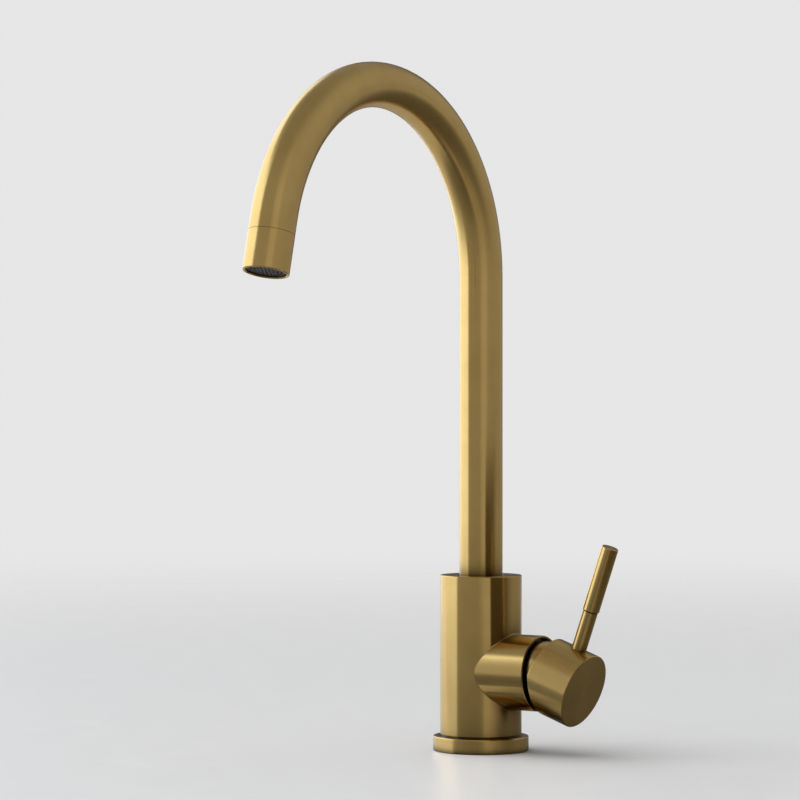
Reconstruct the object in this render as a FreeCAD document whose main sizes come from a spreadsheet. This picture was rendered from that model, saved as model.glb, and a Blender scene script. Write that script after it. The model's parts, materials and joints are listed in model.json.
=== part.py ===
"""Swan-neck kitchen mixer tap with a side lever, as separate pieces in one shared frame.

Millimetres. The origin is on the column's axis at the worktop's surface. +Z is up, the spout reaches
towards -Y, and the lever's boss points along +X. The lever is modelled partly open.
"""
import FreeCAD, Part
import math
import os
import re
import Sketcher

Vector = FreeCAD.Vector
Rotation = FreeCAD.Rotation
Placement = FreeCAD.Placement

SIZES = {
    # how far a cutting tool stands out past the surface that it cuts
    "tool_overrun": 1.0,
    # base ring and its gasket, on the worktop
    "ring_radius": 27.5, "ring_height": 8.5, "ring_bore": 17.0, "ring_round": 0.6,
    "gasket_inner": 18.5, "gasket_outer": 24.5, "gasket_depth": 2.0,
    # upright body
    "shadow_gap": 0.8, "shadow_radius": 22.3,
    "body_radius": 23.5, "body_top": 101.1, "body_round": 0.5, "edge_chamfer": 0.4,
    "spout_bore": 13.0, "spout_floor": 70.0, "bore_chamfer": 0.3,
    # side boss, which holds the cartridge
    "boss_height": 46.0, "boss_radius": 21.7, "boss_end": 41.3, "boss_round": 0.7, "junction_round": 0.6,
    "bore_radius": 18.0, "bore_floor": 12.0,
    "thread_radius": 19.0, "thread_start": 33.6, "recess_radius": 20.4, "recess_start": 38.3,
    # water ways
    "inlet_spread": 7.5, "inlet_thread": 4.46, "inlet_length": 11.0,
    "channel_radius": 3.0, "port_rise": 4.5, "port_drop": 5.0,
    "riser_setback": 8.0, "riser_radius": 4.0,
    "peg_radius": 2.0, "peg_clearance": 0.1, "peg_length": 2.5, "peg_hole_length": 3.0,
    "peg_spread": 9.0, "peg_drop": 7.0,
    # threaded shank and what clamps it under a 30 mm worktop
    "shank_radius": 16.5, "shank_bore": 13.5, "shank_top": 20.0, "shank_bottom": 55.0,
    "deck_thickness": 30.0, "washer_bore": 17.0, "washer_radius": 27.0,
    "deck_washer_height": 3.0, "clamp_washer_height": 2.0,
    "nut_gap": 5.0, "nut_height": 9.0, "nut_flats": 50.0, "nut_chamfer": 3.6, "nut_chamfer_angle": 30.0,
    "clamp_circle": 21.2, "clamp_radius": 2.5, "clamp_length": 22.0,
    "clamp_head_radius": 4.0, "clamp_head_height": 3.5, "clamp_head_round": 0.8,
    "clamp_socket_flats": 4.0, "clamp_socket_depth": 2.2,
    # spout
    "tube_radius": 12.5, "tube_bore": 11.0, "tube_bottom": 93.0,
    "arc_start": 273.2, "arc_radius": 102.0, "arc_sweep": 166.2, "tube_tail": 8.5,
    "adapter_bottom": 70.5, "adapter_bore": 8.0, "spigot_top": 105.0,
    "slide_groove": 11.6, "slide_radius": 12.93, "slide_height": 3.0, "slide_gap": 1.2,
    "lower_slide": 72.0, "upper_slide": 89.2,
    "seal_groove": 10.6, "seal_groove_height": 2.8, "lower_seal": 76.2, "upper_seal": 80.2,
    "seal_ring_radius": 11.8, "seal_cord_radius": 1.14,
    "lock_groove": 10.9, "lock_height": 86.2, "lock_groove_height": 3.8,
    "lock_screw_radius": 2.5, "lock_point_radius": 1.6, "lock_point_reach": 11.3,
    "lock_screw_start": 13.3, "lock_screw_end": 22.4, "lock_socket_flats": 2.5, "lock_socket_depth": 3.0,
    # aerator in the spout's end, measured along the spout's last straight from the tube's end
    "sleeve_length": 21.6, "sleeve_bore": 9.6, "sleeve_spigot": 7.0, "sleeve_chamber": 7.5,
    "hairline_gap": 0.2, "mouth_lip": 0.5,
    "aerator_start": 9.0, "aerator_end": 20.4, "aerator_wall": 9.3, "aerator_grid_depth": 3.0,
    "aerator_hole": 0.75, "aerator_pitch": 2.1, "screen_thickness": 0.4, "screen_spacing": 3.4,
    # cartridge, measured along the boss from the column's axis
    "cartridge_radius": 17.5, "base_flange_end": 14.0, "base_top": 23.0, "base_radius": 15.9,
    "disc_seat": 21.0, "fixed_disc_radius": 13.0, "fixed_disc_top": 25.0,
    "port_spread": 6.5, "base_port": 2.6,
    "port_seal_outer": 4.6, "port_seal_inner": 3.4, "port_seal_depth": 1.6,
    "disc_seal_outer": 3.8, "disc_seal_depth": 1.2,
    "disc_gap": 0.02, "moving_disc_radius": 11.0, "moving_disc_top": 28.5,
    "cavity_width": 14.0, "cavity_depth": 2.2, "cavity_low": 6.5, "cavity_high": 1.5,
    "coupling_step": 31.0, "coupling_top": 35.8, "coupling_radius": 8.0, "socket_radius": 3.0,
    "socket_floor": 30.6,
    "barrel_bore": 16.0, "barrel_ledge": 33.0, "barrel_step": 34.0, "upper_radius": 16.2, "upper_bore": 14.6,
    "rotor_flange_start": 36.4, "rotor_flange_end": 39.0, "rotor_flange_radius": 14.2,
    "housing_roof": 39.1, "housing_shoulder": 41.0, "neck_radius": 13.0, "neck_top": 46.0,
    "neck_bore": 11.06, "rotor_radius": 11.0, "rotor_top": 47.5,
    "slot_width": 6.4, "slot_half_height": 6.8,
    "nut_bore": 16.5, "nut_flange_end": 43.0, "nut_hex_flats": 34.6, "nut_play": 0.02,
    # lever pivot, dome ring and handle
    "pivot_reach": 44.0, "rest_tilt": 19.5, "pivot_pin_radius": 1.75, "pivot_pin_length": 20.0,
    "dome_radius": 18.7, "dome_back": 4.4, "dome_front": 5.0, "dome_bore": 17.5,
    "dome_lip_radius": 14.0, "dome_lip_thickness": 1.4,
    "cap_radius": 21.7, "cap_bore": 19.05, "cap_back": 0.35, "cap_face": 26.5, "cap_wall": 4.5,
    "cap_round": 0.6, "rim_round": 0.45, "rim_chamfer": 0.35, "cap_relief": 0.6, "relief_top": 5.0,
    "hub_radius": 9.5, "hub_start": 9.5, "stem_socket": 8.1, "socket_end": 20.0,
    "stem_width": 8.0, "stem_blade": 6.0, "blade_start": 6.5, "square_start": 6.4, "stem_end": 19.6,
    "stem_neck_radius": 2.0, "stem_arm": 10.0, "ball_radius": 2.8, "pin_hole_radius": 1.8,
    "lever_reach": 15.4, "lever_radius": 4.35, "lever_stud_radius": 3.0, "lever_stud_start": 4.6,
    "lever_shoulder": 19.2, "lever_seam": 45.0, "seam_groove": 0.55, "seam_neck": 3.7,
    "lever_spigot_end": 62.0,
    "grip_radius": 4.85, "grip_end": 83.1, "grip_round": 0.7,
    "grub_reach": 14.0, "grub_radius": 2.5, "grub_start": 4.1, "grub_end": 9.3,
    "grub_socket_flats": 2.5, "grub_socket_depth": 2.4,
    "plug_radius": 2.9, "plug_outer": 21.5, "plug_inner": 19.3,
}

document = FreeCAD.newDocument("mixer_tap")
sheet = document.addObject("Spreadsheet::Sheet", "Sizes")
for row, (alias, value) in enumerate(SIZES.items(), start=1):
    sheet.set(f"A{row}", alias)
    sheet.set(f"B{row}", str(value))
    sheet.setAlias(f"B{row}", alias)
document.recompute()

nodes = []
NEAR = 0.001
AERATOR_RINGS = 4
SCREW_ANGLES = (0, 120, 240)


def bound(text):
    """The expression with each alias written as a cell of the sheet."""
    return re.sub(r"[a-z]+(?:_[a-z]+)+", lambda found: "Sizes." + found.group(0), text)


def size(text):
    """The value of an expression in sheet aliases."""
    return float(sheet.evalExpression(bound(text)))


def bind(item, path, text):
    item.setExpression(path, bound(text))


def keep(item, name):
    """Label a finished sub-part and list it for export."""
    item.Label = name
    nodes.append(item)
    return item


def new_body(name):
    body = document.addObject("PartDesign::Body", name)
    return keep(body, name)


def origin_plane(body, role):
    return next(item for item in body.Origin.OriginFeatures if item.Role == role)


def new_sketch(body, role, shift=("0", "0", "0")):
    """A sketch on one of the body's own planes, shifted along the sketch's x, its y and its normal."""
    sketch = body.newObject("Sketcher::SketchObject", body.Name + "_sketch")
    sketch.AttachmentSupport = (origin_plane(body, role), [""])
    sketch.MapMode = "FlatFace"
    sketch.AttachmentOffset = Placement(Vector(*[size(text) for text in shift]), Rotation())
    for axis, text in zip("xyz", shift):
        bind(sketch, f"AttachmentOffset.Base.{axis}", text)
    return sketch


def fix_point(sketch, geometry, position, across, up):
    """Tie a point of the sketch to the sheet, by its distances from the sketch's origin."""
    origin = -1
    origin_point = 1
    for kind, text, axis in (("DistanceX", across, -2), ("DistanceY", up, -1)):
        if abs(size(text)) < 1e-9:
            sketch.addConstraint(Sketcher.Constraint("PointOnObject", geometry, position, axis))
        else:
            number = sketch.addConstraint(
                Sketcher.Constraint(kind, origin, origin_point, geometry, position, size(text)))
            bind(sketch, f"Constraints[{number}]", text)


def add_outline(sketch, corners):
    """A closed outline of straight lines through corners given as pairs of expressions."""
    places = [Vector(size(across), size(up), 0) for across, up in corners]
    first = sketch.GeometryCount
    count = len(corners)
    for number in range(count):
        sketch.addGeometry(Part.LineSegment(places[number], places[(number + 1) % count]), False)
    for number in range(count):
        following = first + (number + 1) % count
        sketch.addConstraint(Sketcher.Constraint("Coincident", first + number, 2, following, 1))
    for number, (across, up) in enumerate(corners):
        fix_point(sketch, first + number, 1, across, up)


def hexagon(flats, across="0", up="0"):
    """The corners of a hexagon, from the distance across its flats and the place of its centre."""
    corner = f"{flats} / 2 / cos(30)"
    return [(f"{across} + {corner} * cos({angle})", f"{up} + {corner} * sin({angle})")
            for angle in range(0, 360, 60)]


def add_circle(sketch, across, up, radius):
    centre = Vector(size(across), size(up), 0)
    number = sketch.addGeometry(Part.Circle(centre, Vector(0, 0, 1), size(radius)), False)
    fix_point(sketch, number, 3, across, up)
    constraint = sketch.addConstraint(Sketcher.Constraint("Radius", number, size(radius)))
    bind(sketch, f"Constraints[{constraint}]", radius)


def pad(body, sketch, length, backwards=False):
    feature = body.newObject("PartDesign::Pad", body.Name + "_pad")
    feature.Profile = sketch
    bind(feature, "Length", length)
    feature.Reversed = backwards
    document.recompute()
    return feature


def pocket(body, sketch, length, backwards=False, both_ways=False):
    """Cut the sketch away, into the side its normal comes from, and check that it cuts."""
    before = body.Shape.Volume
    feature = body.newObject("PartDesign::Pocket", body.Name + "_pocket")
    feature.Profile = sketch
    bind(feature, "Length", length)
    feature.Reversed = backwards
    feature.Midplane = both_ways
    document.recompute()
    if body.Shape.Volume >= before:
        raise RuntimeError(f"{feature.Name} cuts nothing")
    return feature


def revolve(body, sketch, axis, kind="Revolution"):
    feature = body.newObject("PartDesign::" + kind, body.Name + "_" + kind.lower())
    feature.Profile = sketch
    feature.ReferenceAxis = (sketch, [axis])
    feature.Angle = 360
    document.recompute()
    return feature


def round_edges(body, radius, wanted):
    """Round those edges of a body that wanted is true for."""
    base = body.Tip
    chosen = [f"Edge{number}" for number, edge in enumerate(base.Shape.Edges, start=1) if wanted(edge)]
    if not chosen:
        raise RuntimeError(f"{body.Label} has no such edge")
    feature = body.newObject("PartDesign::Fillet", body.Name + "_fillet")
    feature.Base = (base, chosen)
    bind(feature, "Radius", radius)
    document.recompute()


def rim(radius, x="0", z="0"):
    """A test for the circular edges of one radius, centred on a point of the XZ plane."""
    centre = Vector(size(x), 0, size(z))

    def is_rim(edge):
        return (edge.Curve.TypeId == "Part::GeomCircle" and abs(edge.Curve.Radius - size(radius)) < NEAR
                and (edge.Curve.Center - centre).Length < NEAR)
    return is_rim


def turned_up(name, corners):
    """A piece turned about its own Z axis, from corners of (radius, height)."""
    body = new_body(name)
    sketch = new_sketch(body, "XZ_Plane")
    add_outline(sketch, corners)
    revolve(body, sketch, "V_Axis")
    return body


def turned_along(name, corners):
    """A piece turned about its own X axis, from corners of (distance, radius)."""
    body = new_body(name)
    sketch = new_sketch(body, "XZ_Plane")
    add_outline(sketch, corners)
    revolve(body, sketch, "H_Axis")
    return body


def place(item, x="0", y="0", z="0", axis=Vector(0, 0, 1), angle="0"):
    """Put a piece at a point, turned about an axis, all bound to the sheet."""
    position = Vector(size(x), size(y), size(z))
    item.Placement = Placement(position, Rotation(axis, size(angle)))
    for letter, text in (("x", x), ("y", y), ("z", z)):
        bind(item, f"Placement.Base.{letter}", text)
    if size(angle):
        bind(item, "Placement.Rotation.Angle", angle)
    return item


def on_boss(item):
    """Put a piece turned about X on the boss's axis."""
    return place(item, z="boss_height")


def on_pivot(item):
    """Put a piece at the lever's pivot, square to the boss."""
    return place(item, x="pivot_reach", z="boss_height")


def on_handle(item):
    """Put a piece in the handle's frame: X out of the cap, Z along the lever, tilted to the rest pose."""
    return place(item, x="pivot_reach", z="boss_height", axis=Vector(0, 1, 0), angle="rest_tilt")


def on_spout_end(item):
    """Put a piece at the tube's end, with its Z pointing the way the water leaves."""
    return place(item, y="arc_radius * (cos(arc_sweep) - 1) - tube_tail * sin(arc_sweep)",
                 z="arc_start + arc_radius * sin(arc_sweep) + tube_tail * cos(arc_sweep)",
                 axis=Vector(1, 0, 0), angle="arc_sweep")


def primitive(kind, name, x="0", y="0", z="0", axis=Vector(0, 0, 1), angle="0", **sizes):
    item = document.addObject("Part::" + kind, name)
    for path, text in sizes.items():
        bind(item, path, text)
    return place(item, x, y, z, axis, angle)


ALONG_X = {"axis": Vector(0, 1, 0), "angle": "90"}
ALONG_Y = {"axis": Vector(1, 0, 0), "angle": "-90"}


def fuse(name, pieces):
    item = document.addObject("Part::MultiFuse", name)
    item.Shapes = pieces
    return item


def cut(name, base, tool):
    item = document.addObject("Part::Cut", name)
    item.Base = base
    item.Tool = tool
    return item


# ---------------------------------------------------------------- on and under the worktop

def make_base_ring():
    body = turned_up("base_ring", [
        ("ring_bore", "0"), ("gasket_inner", "0"), ("gasket_inner", "gasket_depth"),
        ("gasket_outer", "gasket_depth"), ("gasket_outer", "0"), ("ring_radius - bore_chamfer", "0"),
        ("ring_radius", "bore_chamfer"), ("ring_radius", "ring_height"), ("ring_bore", "ring_height")])
    round_edges(body, "ring_round", rim("ring_radius", z="ring_height"))


def make_base_gasket():
    turned_up("base_gasket", [
        ("gasket_inner", "0"), ("gasket_outer", "0"), ("gasket_outer", "gasket_depth"),
        ("gasket_inner", "gasket_depth")])


def make_shank():
    turned_up("shank", [
        ("shank_bore", "-shank_bottom"), ("shank_radius - edge_chamfer", "-shank_bottom"),
        ("shank_radius", "-shank_bottom + edge_chamfer"), ("shank_radius", "shank_top"),
        ("shank_bore", "shank_top")])


def make_washers():
    under = "-deck_thickness"
    middle = "-deck_thickness - deck_washer_height"
    bottom = "-deck_thickness - deck_washer_height - clamp_washer_height"
    for name, top, low in (("deck_washer", under, middle), ("clamp_washer", middle, bottom)):
        turned_up(name, [
            ("washer_bore", low), ("washer_radius", low), ("washer_radius", top), ("washer_bore", top)])


def screw_places():
    """The three tightening screws, under three of the back nut's corners."""
    return [(f"clamp_circle * cos({angle})", f"clamp_circle * sin({angle})") for angle in SCREW_ANGLES]


def make_back_nut():
    """Hexagonal nut on the shank. Its corners are turned off to a cone above and below."""
    nut_top = "-deck_thickness - deck_washer_height - clamp_washer_height - nut_gap"
    nut_bottom = nut_top + " - nut_height"
    body = new_body("back_nut")
    sketch = new_sketch(body, "XY_Plane", ("0", "0", nut_top))
    add_outline(sketch, hexagon("nut_flats"))
    pad(body, sketch, "nut_height", backwards=True)
    outside = "nut_flats / 2 + nut_chamfer"
    slope = "nut_chamfer * tan(nut_chamfer_angle)"
    for level, inwards in ((nut_top, "-"), (nut_bottom, "+")):
        cone = new_sketch(body, "XZ_Plane")
        add_outline(cone, [
            ("nut_flats / 2", level), (outside, level), (outside, f"{level} {inwards} {slope}")])
        revolve(body, cone, "V_Axis", "Groove")
    holes = new_sketch(body, "XY_Plane", ("0", "0", nut_top))
    add_circle(holes, "0", "0", "shank_radius")
    for across, up in screw_places():
        add_circle(holes, across, up, "clamp_radius")
    pocket(body, holes, "nut_height")


def on_head_rim(edge):
    """Whether an edge is the outer rim of a tightening screw's head."""
    low = size("-deck_thickness - deck_washer_height - clamp_washer_height - clamp_length"
               " - clamp_head_height")
    return (edge.Curve.TypeId == "Part::GeomCircle" and abs(edge.Curve.Center.z - low) < NEAR
            and abs(edge.Curve.Radius - size("clamp_head_radius")) < NEAR)


def make_clamp_screws():
    tip = "-deck_thickness - deck_washer_height - clamp_washer_height"
    head_top = tip + " - clamp_length"
    head_bottom = head_top + " - clamp_head_height"
    body = new_body("clamp_screws")
    for level, radius, length in ((tip, "clamp_radius", "clamp_length"),
                                  (head_top, "clamp_head_radius", "clamp_head_height")):
        sketch = new_sketch(body, "XY_Plane", ("0", "0", level))
        for across, up in screw_places():
            add_circle(sketch, across, up, radius)
        pad(body, sketch, length, backwards=True)
    round_edges(body, "clamp_head_round", on_head_rim)
    sockets = new_sketch(body, "XY_Plane", ("0", "0", head_bottom))
    for across, up in screw_places():
        add_outline(sockets, hexagon("clamp_socket_flats", across, up))
    pocket(body, sockets, "clamp_socket_depth", backwards=True)


# ---------------------------------------------------------------- body

def joins_boss_to_body(edge):
    """Whether an edge lies on the upright body's surface and the boss's at once."""
    return all(
        abs(math.hypot(point.x, point.y) - size("body_radius")) < NEAR
        and abs(math.hypot(point.y, point.z - size("boss_height")) - size("boss_radius")) < NEAR
        for point in edge.discretize(5))


def make_main_body():
    """The upright body and its side boss, bored for the shank, the spout, the cartridge and the water."""
    body = turned_up("main_body", [
        ("0", "shank_top"), ("shank_radius", "shank_top"), ("shank_radius", "ring_height"),
        ("shadow_radius", "ring_height"), ("shadow_radius", "ring_height + shadow_gap"),
        ("body_radius - bore_chamfer", "ring_height + shadow_gap"),
        ("body_radius", "ring_height + shadow_gap + bore_chamfer"),
        ("body_radius", "body_top"), ("spout_bore + bore_chamfer", "body_top"),
        ("spout_bore", "body_top - bore_chamfer"),
        ("spout_bore", "spout_floor"), ("0", "spout_floor")])
    boss_axis = ("0", "boss_height", "0")
    boss = new_sketch(body, "XZ_Plane", boss_axis)
    add_outline(boss, [
        ("0", "0"), ("boss_end", "0"), ("boss_end", "boss_radius"), ("0", "boss_radius")])
    revolve(body, boss, "H_Axis")
    round_edges(body, "body_round", rim("body_radius", z="body_top"))
    round_edges(body, "boss_round", rim("boss_radius", x="boss_end", z="boss_height"))
    round_edges(body, "junction_round", joins_boss_to_body)
    bore = new_sketch(body, "XZ_Plane", boss_axis)
    beyond = "boss_end + tool_overrun"
    add_outline(bore, [
        ("bore_floor", "0"), (beyond, "0"), (beyond, "recess_radius"), ("recess_start", "recess_radius"),
        ("recess_start", "thread_radius"), ("thread_start", "thread_radius"),
        ("thread_start", "bore_radius"), ("bore_floor", "bore_radius")])
    solid_volume = body.Shape.Volume
    revolve(body, bore, "H_Axis", "Groove")
    if body.Shape.Volume >= solid_volume:
        raise RuntimeError("the cartridge bore cuts nothing")

    sides = ("-inlet_spread", "inlet_spread")
    for radius, length in (("inlet_thread", "inlet_length"),
                           ("channel_radius", "boss_height + port_rise + tool_overrun - shank_top")):
        inlets = new_sketch(body, "XY_Plane", ("0", "0", "shank_top"))
        for side in sides:
            add_circle(inlets, "0", side, radius)
        pocket(body, inlets, length, backwards=True)
    inlet_ports = new_sketch(body, "YZ_Plane", ("0", "0", "bore_floor"))
    for side in sides:
        add_circle(inlet_ports, side, "boss_height + port_rise", "channel_radius")
    pocket(body, inlet_ports, "bore_floor")
    mixed_port = new_sketch(body, "YZ_Plane", ("0", "0", "bore_floor"))
    add_circle(mixed_port, "0", "boss_height - port_drop", "channel_radius")
    pocket(body, mixed_port, "bore_floor + riser_setback")
    riser = new_sketch(body, "XY_Plane", ("0", "0", "spout_floor"))
    add_circle(riser, "-riser_setback", "0", "riser_radius")
    pocket(body, riser, "spout_floor - boss_height + port_drop + tool_overrun")
    pegs = new_sketch(body, "YZ_Plane", ("0", "0", "bore_floor"))
    for side in ("-peg_spread", "peg_spread"):
        add_circle(pegs, side, "boss_height - peg_drop", "peg_radius + peg_clearance")
    pocket(body, pegs, "peg_hole_length")
    lock = new_sketch(body, "XZ_Plane")
    add_circle(lock, "0", "lock_height", "lock_screw_radius")
    pocket(body, lock, "body_radius + tool_overrun")


def cut_socket(body, top, flats, depth):
    """A hexagon socket down into a set screw's end."""
    sketch = new_sketch(body, "XY_Plane", ("0", "0", top))
    add_outline(sketch, hexagon(flats))
    pocket(body, sketch, depth)


def make_spout_lock_screw():
    """Socket set screw at the back of the body, whose dog point runs in the adapter's groove."""
    body = turned_up("spout_lock_screw", [
        ("0", "lock_point_reach"), ("lock_point_radius", "lock_point_reach"),
        ("lock_point_radius", "lock_screw_start"), ("lock_screw_radius", "lock_screw_start"),
        ("lock_screw_radius", "lock_screw_end - bore_chamfer"),
        ("lock_screw_radius - bore_chamfer", "lock_screw_end"), ("0", "lock_screw_end")])
    cut_socket(body, "lock_screw_end", "lock_socket_flats", "lock_socket_depth")
    place(body, z="lock_height", **ALONG_Y)


# ---------------------------------------------------------------- cartridge

def port_rings(name, start, depth, spread, outer, inner):
    """Three flat seals in one plane, round the two inlets and the outlet."""
    body = new_body(name)
    sketch = new_sketch(body, "YZ_Plane", ("0", "0", start))
    for across, up in (("-" + spread, "port_rise"), (spread, "port_rise"), ("0", "-port_drop")):
        add_circle(sketch, across, up, outer)
        add_circle(sketch, across, up, inner)
    pad(body, sketch, depth)
    on_boss(body)


def cut_ports(body, start, depth, spread, radius):
    """Cut the two inlets and the outlet into a face that looks towards -X, inwards along +X."""
    sketch = new_sketch(body, "YZ_Plane", ("0", "0", start))
    for across, up in (("-" + spread, "port_rise"), (spread, "port_rise"), ("0", "-port_drop")):
        add_circle(sketch, across, up, radius)
    pocket(body, sketch, depth, backwards=True)


def make_cartridge_base():
    body = turned_along("cartridge_base", [
        ("bore_floor", "0"), ("bore_floor", "cartridge_radius"), ("base_flange_end", "cartridge_radius"),
        ("base_flange_end", "base_radius"), ("base_top", "base_radius"),
        ("base_top", "fixed_disc_radius + peg_clearance"),
        ("disc_seat", "fixed_disc_radius + peg_clearance"), ("disc_seat", "0")])
    pegs = new_sketch(body, "YZ_Plane", ("0", "0", "bore_floor"))
    for side in ("-peg_spread", "peg_spread"):
        add_circle(pegs, side, "-peg_drop", "peg_radius")
    pad(body, pegs, "peg_length", backwards=True)
    cut_ports(body, "bore_floor", "port_seal_depth", "inlet_spread", "port_seal_outer")
    cut_ports(body, "bore_floor", "base_top - bore_floor", "port_spread", "base_port")
    cut_ports(body, "disc_seat - disc_seal_depth", "disc_seal_depth", "port_spread", "disc_seal_outer")
    on_boss(body)


def make_discs():
    fixed = turned_along("fixed_disc", [
        ("disc_seat", "0"), ("disc_seat", "fixed_disc_radius"),
        ("fixed_disc_top", "fixed_disc_radius"), ("fixed_disc_top", "0")])
    cut_ports(fixed, "disc_seat", "fixed_disc_top - disc_seat", "port_spread", "base_port")
    on_boss(fixed)

    face = "fixed_disc_top + disc_gap"
    moving = turned_along("moving_disc", [
        (face, "0"), (face, "moving_disc_radius"), ("moving_disc_top", "moving_disc_radius"),
        ("moving_disc_top", "0")])
    cavity = new_sketch(moving, "YZ_Plane", ("0", "0", face))
    add_outline(cavity, [
        ("-cavity_width / 2", "-cavity_low"), ("cavity_width / 2", "-cavity_low"),
        ("cavity_width / 2", "cavity_high"), ("-cavity_width / 2", "cavity_high")])
    pocket(moving, cavity, "cavity_depth", backwards=True)
    coupling = turned_along("disc_coupling", [
        ("moving_disc_top", "0"), ("moving_disc_top", "moving_disc_radius"),
        ("coupling_step", "moving_disc_radius"), ("coupling_step", "coupling_radius"),
        ("coupling_top", "coupling_radius"), ("coupling_top", "socket_radius"),
        ("socket_floor", "socket_radius"), ("socket_floor", "0")])
    for slider in (moving, coupling):
        place(slider, z="boss_height + stem_arm * sin(rest_tilt)")


def make_cartridge_housing():
    on_boss(turned_along("cartridge_housing", [
        ("base_flange_end", "barrel_bore"), ("base_flange_end", "cartridge_radius"),
        ("barrel_step", "cartridge_radius"), ("barrel_step", "upper_radius"),
        ("housing_shoulder", "upper_radius"), ("housing_shoulder", "neck_radius"),
        ("neck_top", "neck_radius"), ("neck_top", "neck_bore"), ("housing_roof", "neck_bore"),
        ("housing_roof", "upper_bore"), ("barrel_ledge", "upper_bore"),
        ("barrel_ledge", "barrel_bore")]))


def make_cartridge_nut():
    """Threaded ring that holds the cartridge down, with a hexagon for the spanner."""
    body = turned_along("cartridge_nut", [
        ("barrel_step", "nut_bore"), ("barrel_step", "thread_radius"), ("recess_start", "thread_radius"),
        ("recess_start", "nut_bore")])
    sketch = new_sketch(body, "YZ_Plane", ("0", "0", "recess_start"))
    add_outline(sketch, hexagon("nut_hex_flats"))
    add_circle(sketch, "0", "0", "nut_bore")
    pad(body, sketch, "nut_flange_end - recess_start")
    trim = new_sketch(body, "YZ_Plane", ("0", "0", "nut_flange_end"))
    add_circle(trim, "0", "0", "recess_radius + tool_overrun")
    add_circle(trim, "0", "0", "dome_bore - nut_play")
    pocket(body, trim, "nut_flange_end - recess_start")
    on_boss(body)


def make_dome_ring():
    """Round-shouldered trim ring over the nut. Its outside is part of a ball about the lever's pivot."""
    ball = primitive("Sphere", "dome_ball", Radius="dome_radius")
    band = primitive("Cylinder", "dome_band", x="-dome_back", **ALONG_X,
                     Radius="dome_radius + tool_overrun", Height="dome_back + dome_front")
    zone = document.addObject("Part::Common", "dome_zone")
    zone.Base = ball
    zone.Tool = band
    hollow = primitive("Cylinder", "dome_hollow", x="-dome_back - tool_overrun", **ALONG_X,
                       Radius="dome_bore",
                       Height="dome_back + dome_front + tool_overrun - dome_lip_thickness")
    mouth = primitive("Cylinder", "dome_mouth", x="0", **ALONG_X,
                      Radius="dome_lip_radius", Height="dome_front + tool_overrun")
    ring = cut("dome_ring", zone, fuse("dome_inside", [hollow, mouth]))
    on_pivot(keep(ring, "dome_ring"))


def make_rotor():
    body = turned_along("cartridge_rotor", [
        ("rotor_flange_start", "0"), ("rotor_flange_start", "rotor_flange_radius"),
        ("rotor_flange_end", "rotor_flange_radius"), ("rotor_flange_end", "rotor_radius"),
        ("rotor_top", "rotor_radius"), ("rotor_top", "0")])
    slot = new_sketch(body, "YZ_Plane", ("0", "0", "rotor_top"))
    add_outline(slot, [
        ("-slot_width / 2", "-slot_half_height"), ("slot_width / 2", "-slot_half_height"),
        ("slot_width / 2", "slot_half_height"), ("-slot_width / 2", "slot_half_height")])
    pocket(body, slot, "rotor_top - rotor_flange_start")
    pin_hole = new_sketch(body, "XZ_Plane")
    add_circle(pin_hole, "pivot_reach", "0", "pivot_pin_radius")
    pocket(body, pin_hole, "2 * rotor_radius", both_ways=True)
    on_boss(body)


def make_pivot_pin():
    pin = primitive("Cylinder", "pivot_pin", x="pivot_reach", y="-pivot_pin_length / 2", z="boss_height",
                    **ALONG_Y, Radius="pivot_pin_radius", Height="pivot_pin_length")
    keep(pin, "pivot_pin")


# ---------------------------------------------------------------- handle

def make_lever_stem():
    """Flat blade on the pivot pin, with a ball below that moves the disc and a square above for the cap."""
    ball = primitive("Sphere", "stem_ball", x="-stem_arm", Radius="ball_radius")
    neck = primitive("Cylinder", "stem_neck", x="-stem_arm", **ALONG_X,
                     Radius="stem_neck_radius", Height="stem_arm")
    blade = primitive("Box", "stem_blade", x="-blade_start", y="-stem_blade / 2", z="-stem_width / 2",
                      Length="blade_start + square_start", Width="stem_blade", Height="stem_width")
    square = primitive("Box", "stem_square", x="square_start", y="-stem_width / 2", z="-stem_width / 2",
                       Length="stem_end - square_start", Width="stem_width", Height="stem_width")
    hole = primitive("Cylinder", "stem_hole", y="-stem_width", **ALONG_Y,
                     Radius="pin_hole_radius", Height="2 * stem_width")
    stem = cut("lever_stem", fuse("stem_solid", [ball, neck, blade, square]), hole)
    on_handle(keep(stem, "lever_stem"))


def on_cap_rim(edge):
    """Whether an edge is part of the cap's outer rim, round the open end and along the square cut."""
    return all(
        abs(math.hypot(point.y, point.z) - size("cap_radius")) < NEAR and point.x < size("cap_face / 2")
        and (point.x < size("cap_back") + NEAR or point.z < size("relief_top"))
        for point in edge.discretize(5))


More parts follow.
